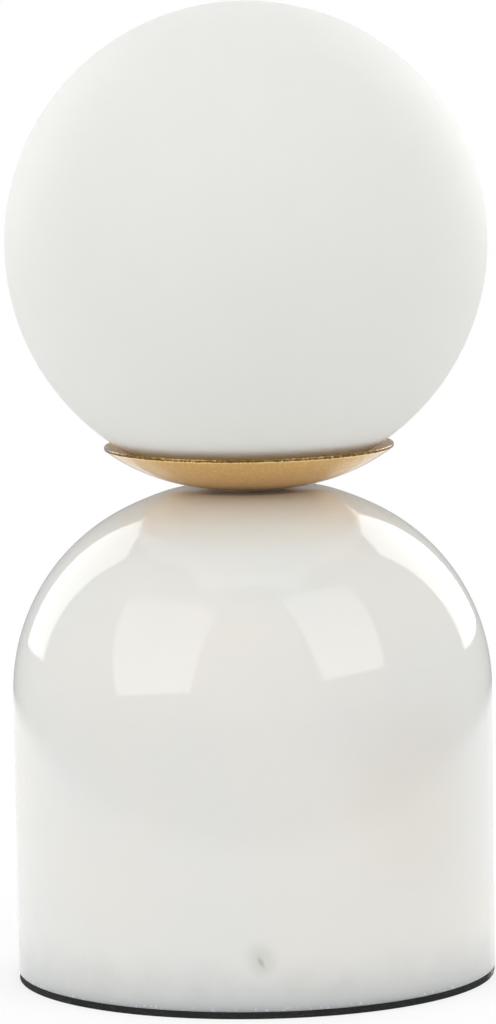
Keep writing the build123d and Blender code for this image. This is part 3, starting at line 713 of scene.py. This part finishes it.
class LAMP_OT_marble_dome(bpy.types.Operator):
    """Marble base: straight wall, round shoulder, flat seat, hollow underside and cable hole"""

    bl_idname = "globe_lamp.marble_dome"
    bl_label = "Marble dome"

    def execute(self, context):
        size = sizes()
        dome = turned("marble_dome", self.crown() + self.wall() + self.underside(), size.turn_steps)
        self.drill(dome, "cable_hole", size.cable_hole, 0.0)
        self.drill(dome, "spot_face", size.spot_face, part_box("cable_gland")[1][1] - 2 * MM)
        smooth(dome)
        dress(dome, finish("marble"), "base", "marble", "marble_base")
        return {"FINISHED"}

    def crown(self):
        """Outline of the seat and shoulder, a little fuller beside the seat than a plain arc."""
        size = sizes()
        radius = node_radius("marble_base")
        top = node_top("marble_base")
        shoulder = radius - size.seat_radius
        outline = [(size.tube_hole, top), (size.seat_radius * 0.75, top)]
        for r, z in arc((size.seat_radius, top - shoulder), shoulder, 90, 0, 72):
            lift = size.crown_fullness * math.exp(-(((r - CROWN_FULLEST) / CROWN_SPREAD) ** 2))
            outline.append((r, min(top, z + lift)))
        return outline

    def wall(self):
        """Outline of the straight wall, closer set near the foot, and its rounded edge."""
        size = sizes()
        radius = node_radius("marble_base")
        bottom = node_bottom("marble_base")
        edge = size.stone_edge
        outline = [(radius, bottom + height * MM) for height in (70, 50, 36, 26, 18, 12, 8, 5, 3, 2, 1.2)]
        return outline + arc((radius - edge, bottom + edge), edge, 0, -90, 4)

    def underside(self):
        """Outline of the recess and the hollow, back to the tube's hole."""
        size = sizes()
        bottom = node_bottom("marble_base")
        ceiling = bottom + size.rebate_depth
        return [
            (size.rebate_radius, bottom),
            (size.rebate_radius, ceiling),
            (size.chamber_radius, ceiling),
            (size.chamber_radius, size.chamber_top),
            (size.tube_hole, size.chamber_top),
            (size.tube_hole, node_top("marble_base")),
        ]

    def drill(self, dome, name, radius, start):
        """Cut a round hole along Y into the back of the stone, from start outwards."""
        low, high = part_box("cable_gland")
        end = node_radius("marble_base") + 5 * MM
        bpy.ops.object.select_all(action="DESELECT")
        bpy.ops.mesh.primitive_cylinder_add(
            vertices=64, radius=radius, depth=end - start, location=(0, (start + end) / 2, (low[2] + high[2]) / 2),
            rotation=(math.pi / 2, 0, 0),
        )
        cutter = bpy.context.object
        settle(cutter, name)
        add_modifier(dome, "BOOLEAN", operation="DIFFERENCE", object=cutter, solver="EXACT")
        bpy.data.objects.remove(cutter)


class LAMP_OT_foam_pad(bpy.types.Operator):
    """Foot pad under the stone, with the slightly uneven edge of cut foam"""

    bl_idname = "globe_lamp.foam_pad"
    bl_label = "Foam pad"

    def execute(self, context):
        size = sizes()
        radius = node_radius("foot_pad")
        thickness = node_top("foot_pad")
        bpy.ops.object.select_all(action="DESELECT")
        bpy.ops.mesh.primitive_cylinder_add(
            vertices=size.turn_steps, radius=radius, depth=thickness, location=(0, 0, thickness / 2)
        )
        pad = context.object
        settle(pad, "foam_pad")
        edit(pad)
        pick("EDGE", lambda edge: at_height(0.0)(edge) or at_height(thickness)(edge))
        bpy.ops.mesh.bevel(offset=0.3 * MM, segments=3, profile=0.5, affect="EDGES")
        for share in (0.4, 0.6):
            bpy.ops.mesh.select_all(action="SELECT")
            bpy.ops.mesh.bisect(plane_co=(0, 0, thickness * share), plane_no=(0, 0, 1))
        leave_edit()
        rim = pad.vertex_groups.new(name="rim")
        reach = radius - 0.2 * MM
        rim.add([v.index for v in pad.data.vertices if v.co.xy.length > reach], 1.0, "REPLACE")
        nicks = bpy.data.textures.new("pad_nicks", "CLOUDS")
        nicks.noise_scale = 5 * MM
        nicks.noise_depth = 3
        add_modifier(
            pad, "DISPLACE", texture=nicks, texture_coords="LOCAL", strength=-0.7 * MM, mid_level=0.0,
            vertex_group="rim",
        )
        smooth(pad)
        dress(pad, finish("foam"), "base", "foam", "foot_pad")
        return {"FINISHED"}


class LAMP_OT_spun_dish(bpy.types.Operator):
    """Gold dish: flat middle, rising arc and a square-cut rim with rounded edges"""

    bl_idname = "globe_lamp.spun_dish"
    bl_label = "Spun dish"

    def execute(self, context):
        size = sizes()
        radius = node_radius("gold_dish")
        bottom = node_bottom("gold_dish")
        centre = (size.dish_flat, bottom + size.dish_arc)
        inner_arc = size.dish_arc - size.dish_sheet
        edge = size.dish_edge
        reach = radius - size.dish_flat - edge
        outer_lean = math.degrees(math.acos(reach / (size.dish_arc - edge)))
        inner_lean = math.degrees(math.acos(reach / (inner_arc + edge)))
        outer_round = (radius - edge, centre[1] - math.sqrt((size.dish_arc - edge) ** 2 - reach**2))
        inner_round = (radius - edge, centre[1] - math.sqrt((inner_arc + edge) ** 2 - reach**2))
        outline = [(size.tube_hole, bottom), *arc(centre, size.dish_arc, -90, -outer_lean, 40)]
        outline += arc(outer_round, edge, -outer_lean, 0, 4)[1:]
        outline += [(r, z + size.dish_bead) for r, z in arc(inner_round, edge, 0, 180 - inner_lean, 7)]
        outline += arc(centre, inner_arc, -inner_lean - 1.5, -90, 40)
        outline += [(size.tube_hole, bottom + size.dish_sheet), (size.tube_hole, bottom)]
        dish = turned("spun_dish", outline, size.turn_steps)
        dress(dish, finish("gold"), "base", "gold", "gold_dish")
        return {"FINISHED"}


class LAMP_OT_opal_globe(bpy.types.Operator):
    """Opal glass globe with its ground mouth and inward neck"""

    bl_idname = "globe_lamp.opal_globe"
    bl_label = "Opal globe"

    def execute(self, context):
        size = sizes()
        mouth = node_bottom("glass_globe")
        top = node_top("glass_globe")
        rise = top - mouth
        radius = (size.mouth_radius**2 + rise**2) / (2 * rise)
        centre = top - radius
        globe = self.shell(radius, centre, mouth)
        globe.name = "opal_globe"
        edit(globe)
        pick("EDGE", lambda edge: edge.is_boundary)
        self.ring(size.neck_radius / size.mouth_radius)
        bpy.ops.mesh.extrude_region_move(TRANSFORM_OT_translate={"value": (0, 0, size.neck_height)})
        outer_neck = size.neck_radius + size.neck_wall
        self.ring(outer_neck / size.neck_radius)
        inner = radius - size.glass_wall
        foot = centre - math.sqrt(inner**2 - outer_neck**2)
        drop = foot - mouth - size.neck_height
        bpy.ops.mesh.extrude_region_move(TRANSFORM_OT_translate={"value": (0, 0, drop)})
        leave_edit()
        lining = self.shell(inner, centre, foot)
        edit(lining)
        bpy.ops.mesh.flip_normals()
        leave_edit()
        only(globe)
        lining.select_set(True)
        bpy.ops.object.join()
        edit(globe)
        bpy.ops.mesh.remove_doubles(threshold=0.05 * MM)
        sharp = (mouth, mouth + size.neck_height)
        pick("EDGE", lambda edge: any(at_height(h)(edge) and self.on_ring(edge) for h in sharp))
        bpy.ops.mesh.bevel(offset=0.4 * MM, segments=3, profile=0.5, affect="EDGES")
        leave_edit()
        smooth(globe)
        settle(globe, "opal_globe")
        dress(globe, finish("opal"), "globe", "opal_glass", "glass_globe")
        return {"FINISHED"}

    def shell(self, radius, centre, cut):
        """Sphere open below a height."""
        bpy.ops.object.select_all(action="DESELECT")
        bpy.ops.mesh.primitive_uv_sphere_add(segments=192, ring_count=112, radius=radius, location=(0, 0, centre))
        sphere = bpy.context.object
        settle(sphere, "sphere")
        edit(sphere)
        bpy.ops.mesh.bisect(plane_co=(0, 0, cut), plane_no=(0, 0, 1), clear_inner=True)
        leave_edit()
        return sphere

    def ring(self, ratio):
        """Extrude the selected loop on the spot and scale it about the axis."""
        bpy.ops.mesh.extrude_region_move(TRANSFORM_OT_translate={"value": (0, 0, 0)})
        bpy.ops.transform.resize(value=(ratio, ratio, 1), center_override=(0, 0, 0))

    def on_ring(self, edge):
        """True for an edge along a circle about the axis."""
        first, second = edge.verts
        return abs(first.co.xy.length - second.co.xy.length) < 0.01 * MM


class LAMP_OT_seal(bpy.types.Operator):
    """Silicone ring under the globe's mouth and the clear washer under the dish"""

    bl_idname = "globe_lamp.seal"
    bl_label = "Seal and washer"

    def execute(self, context):
        dress(refined("globe_seal", "silicone_seal", 0.2 * MM), finish("silicone"), "seal", "silicone", "globe_seal")
        dress(
            refined("dish_seat_washer", "clear_washer", 0.08 * MM), finish("vinyl"), "base", "clear_film",
            "dish_seat_washer",
        )
        return {"FINISHED"}


class LAMP_OT_sleeve(bpy.types.Operator):
    """Sheet-metal sleeve with the coarse rolled thread that carries the globe"""

    bl_idname = "globe_lamp.sleeve"
    bl_label = "Threaded sleeve"

    def execute(self, context):
        size = sizes()
        radius = node_radius("shade_sleeve")
        bottom = node_bottom("shade_sleeve")
        top = node_top("shade_sleeve")
        sheet = 1.2 * MM
        root = radius - size.thread_depth
        corner = 1.0 * MM
        lip = 0.25 * MM
        outline = [(SLEEVE_BORE, bottom), *arc((root - corner, bottom + corner), corner, -90, 0, 6)]
        outline += [(root, top - lip), (root - lip, top), (radius - sheet, top), (radius - sheet, bottom + sheet)]
        outline += [(SLEEVE_BORE, bottom + sheet), (SLEEVE_BORE, bottom)]
        sleeve = turned("threaded_sleeve", outline, 128)
        thread = self.thread(root, bottom + 2.2 * MM, (top - bottom - 4.0 * MM) / size.thread_pitch)
        only(sleeve)
        thread.select_set(True)
        bpy.ops.object.join()
        smooth(sleeve, 40)
        dress(sleeve, finish("gold"), "base", "gold", "shade_sleeve")
        return {"FINISHED"}

    def thread(self, root, start, turns):
        """Rounded ridge that winds up the sleeve."""
        size = sizes()
        depth = size.thread_depth
        width = size.thread_pitch * 0.28
        bpy.ops.object.select_all(action="DESELECT")
        bpy.ops.mesh.primitive_circle_add(
            vertices=12, radius=1.0, location=(root - 0.05 * MM, 0, start), rotation=(math.pi / 2, 0, 0)
        )
        ridge = bpy.context.object
        ridge.scale = (depth, width, 1)
        settle(ridge, "ridge")
        steps = 96
        add_modifier(
            ridge, "SCREW", axis="Z", angle=math.tau * turns, screw_offset=size.thread_pitch * turns,
            steps=int(steps * turns), render_steps=int(steps * turns), iterations=1, use_merge_vertices=False,
        )
        edit(ridge)
        pick("EDGE", lambda edge: edge.is_boundary)
        bpy.ops.mesh.edge_face_add()
        bpy.ops.mesh.select_all(action="SELECT")
        bpy.ops.mesh.normals_make_consistent(inside=False)
        leave_edit()
        return ridge


class LAMP_OT_holder(bpy.types.Operator):
    """Ceramic lamp holder with its bracket, screws and contacts"""

    bl_idname = "globe_lamp.holder"
    bl_label = "Lamp holder"

    def execute(self, context):
        dress(refined("lamp_holder", "ceramic_holder", 0.25 * MM), finish("steatite"), "base", "ceramic", "lamp_holder")
        dress(refined("holder_bracket", "bracket_plate", 0.15 * MM), finish("zinc"), "base", "steel", "holder_bracket")
        dress(refined("holder_screws", "ceramic_screws", 0.12 * MM), finish("zinc"), "base", "steel", "holder_screws")
        for side in ("left", "right"):
            node = f"holder_contact_{side}"
            dress(refined(node, f"contact_clip_{side}"), finish("brass"), "base", "brass", node)
        return {"FINISHED"}


class LAMP_OT_bulb(bpy.types.Operator):
    """Two-pin bulb: moulded foot, clear cover, light source and loop pins"""

    bl_idname = "globe_lamp.bulb"
    bl_label = "Bulb"

    def execute(self, context):
        dress(refined("bulb_base", "bulb_foot", 0.2 * MM), finish("steatite"), "bulb", "ceramic", "bulb_base")
        dress(refined("bulb_pins", "loop_pins"), finish("zinc"), "bulb", "steel", "bulb_pins")
        dress(self.cover(), finish("clear_glass"), "bulb", "bulb_glass", "bulb_envelope")
        dress(self.core(), finish("nylon"), "bulb", "light_plastic", "bulb_light_source")
        dress(self.chips(), finish("phosphor"), "bulb", "phosphor")
        return {"FINISHED"}

    def cover(self):
        """Round-topped cover blown over the light source."""
        radius = node_radius("bulb_envelope")
        bottom = node_bottom("bulb_envelope")
        top = node_top("bulb_envelope")
        wall = 0.9 * MM
        centre = (0.0, top - radius)
        outline = [(radius - wall, bottom), (radius, bottom), *arc(centre, radius, 0, 90, 20)]
        outline += [*arc(centre, radius - wall, 90, 0, 20), (radius - wall, bottom)]
        return turned("bulb_cover", outline, 96)

    def core(self):
        """White core that the chips sit on."""
        radius = node_radius("bulb_light_source") - 0.6 * MM
        bottom = node_bottom("bulb_light_source")
        top = node_top("bulb_light_source") - 0.6 * MM
        bpy.ops.object.select_all(action="DESELECT")
        bpy.ops.mesh.primitive_cylinder_add(
            vertices=8, radius=radius, depth=top - bottom, location=(0, 0, (top + bottom) / 2),
            rotation=(0, 0, math.pi / 8),
        )
        core = bpy.context.object
        settle(core, "bulb_core")
        add_modifier(core, "BEVEL", width=0.3 * MM, segments=2, limit_method="ANGLE")
        return core

    def chips(self):
        """Rows of square light chips round the core."""
        radius = (node_radius("bulb_light_source") - 0.6 * MM) * math.cos(math.pi / 8)
        bottom = node_bottom("bulb_light_source")
        side, depth, spacing = 1.8 * MM, 0.5 * MM, 3.1 * MM
        parts = []
        for face in range(8):
            angle = face * math.tau / 8
            for row in range(6):
                out = radius + depth / 2
                place = (out * math.cos(angle), out * math.sin(angle), bottom + 2.6 * MM + row * spacing)
                bpy.ops.object.select_all(action="DESELECT")
                bpy.ops.mesh.primitive_cube_add(size=1.0, location=place, rotation=(0, 0, angle))
                chip = bpy.context.object
                chip.scale = (depth, side, side)
                settle(chip, "chip")
                parts.append(chip)
        only(parts[0])
        for chip in parts[1:]:
            chip.select_set(True)
        bpy.ops.object.join()
        chips = bpy.context.object
        add_modifier(chips, "BEVEL", width=0.12 * MM, segments=2, limit_method="ANGLE")
        settle(chips, "light_chips")
        return chips


class LAMP_OT_fasteners(bpy.types.Operator):
    """Threaded tube with its nuts, washers and end bushes"""

    bl_idname = "globe_lamp.fasteners"
    bl_label = "Fasteners"

    def execute(self, context):
        steel = {
            "threaded_tube": "all_thread_tube",
            "fender_washer": "wide_washer",
            "tube_lock_washer": "lower_lock_washer",
            "tube_nut": "lower_nut",
            "dish_lock_washer": "upper_lock_washer",
            "dish_nut": "upper_nut",
        }
        for node, name in steel.items():
            dress(refined(node, name, 0.1 * MM), finish("zinc"), "base", "steel", node)
        for end in ("lower", "upper"):
            node = f"tube_bush_{end}"
            dress(refined(node, f"end_bush_{end}", 0.1 * MM), finish("nylon"), "base", "light_plastic", node)
        return {"FINISHED"}


class LAMP_OT_wiring(bpy.types.Operator):
    """Leads, connector, underside cover and the cable gland at the back"""

    bl_idname = "globe_lamp.wiring"
    bl_label = "Wiring"

    def execute(self, context):
        dress(refined("lead_left", "brown_lead"), finish("brown_pvc"), "base", "brown_sleeve", "lead_left")
        dress(refined("lead_right", "blue_lead"), finish("blue_pvc"), "base", "blue_sleeve", "lead_right")
        block = refined("terminal_block", "connector", 0.2 * MM)
        dress(block, finish("nylon"), "base", "light_plastic", "terminal_block")
        dress(refined("terminal_inserts", "connector_inserts"), finish("brass"), "base", "brass", "terminal_inserts")
        for node, name in (("terminal_screws", "connector_screws"), ("terminal_fixing_screw", "connector_fixing")):
            dress(refined(node, name, 0.08 * MM), finish("zinc"), "base", "steel", node)
        dress(refined("cavity_cover", "underside_cover", 0.2 * MM), finish("board"), "base", "board", "cavity_cover")
        dress(refined("cable_gland", "inlet_gland", 0.2 * MM), finish("nylon"), "base", "light_plastic", "cable_gland")
        return {"FINISHED"}


OPERATORS = (
    LAMP_OT_stage,
    LAMP_OT_marble_dome,
    LAMP_OT_foam_pad,
    LAMP_OT_spun_dish,
    LAMP_OT_opal_globe,
    LAMP_OT_seal,
    LAMP_OT_sleeve,
    LAMP_OT_holder,
    LAMP_OT_bulb,
    LAMP_OT_fasteners,
    LAMP_OT_wiring,
)


class LAMP_PT_panel(bpy.types.Panel):
    """Lists the lamp's pieces and sizes"""

    bl_idname = "LAMP_PT_panel"
    bl_label = "Globe lamp"
    bl_space_type = "VIEW_3D"
    bl_region_type = "UI"
    bl_category = "Globe lamp"

    def draw(self, context):
        for operator in OPERATORS:
            self.layout.operator(operator.bl_idname)
        for group in (context.scene.globe_lamp_sizes, context.scene.globe_lamp_colours):
            for key in group.bl_rna.properties.keys():
                if key not in {"rna_type", "name"}:
                    self.layout.prop(group, key)


CLASSES = (GlobeLampSizes, GlobeLampColours, *OPERATORS, LAMP_PT_panel)


def register():
    for cls in CLASSES:
        bpy.utils.register_class(cls)
    bpy.types.Scene.globe_lamp_sizes = PointerProperty(type=GlobeLampSizes)
    bpy.types.Scene.globe_lamp_colours = PointerProperty(type=GlobeLampColours)


def unregister():
    del bpy.types.Scene.globe_lamp_sizes
    del bpy.types.Scene.globe_lamp_colours
    for cls in reversed(CLASSES):
        bpy.utils.unregister_class(cls)


def main():
    register()
    for operator in OPERATORS:
        group, name = operator.bl_idname.split(".")
        getattr(getattr(bpy.ops, group), name)()


if __name__ == "__main__":
    main()
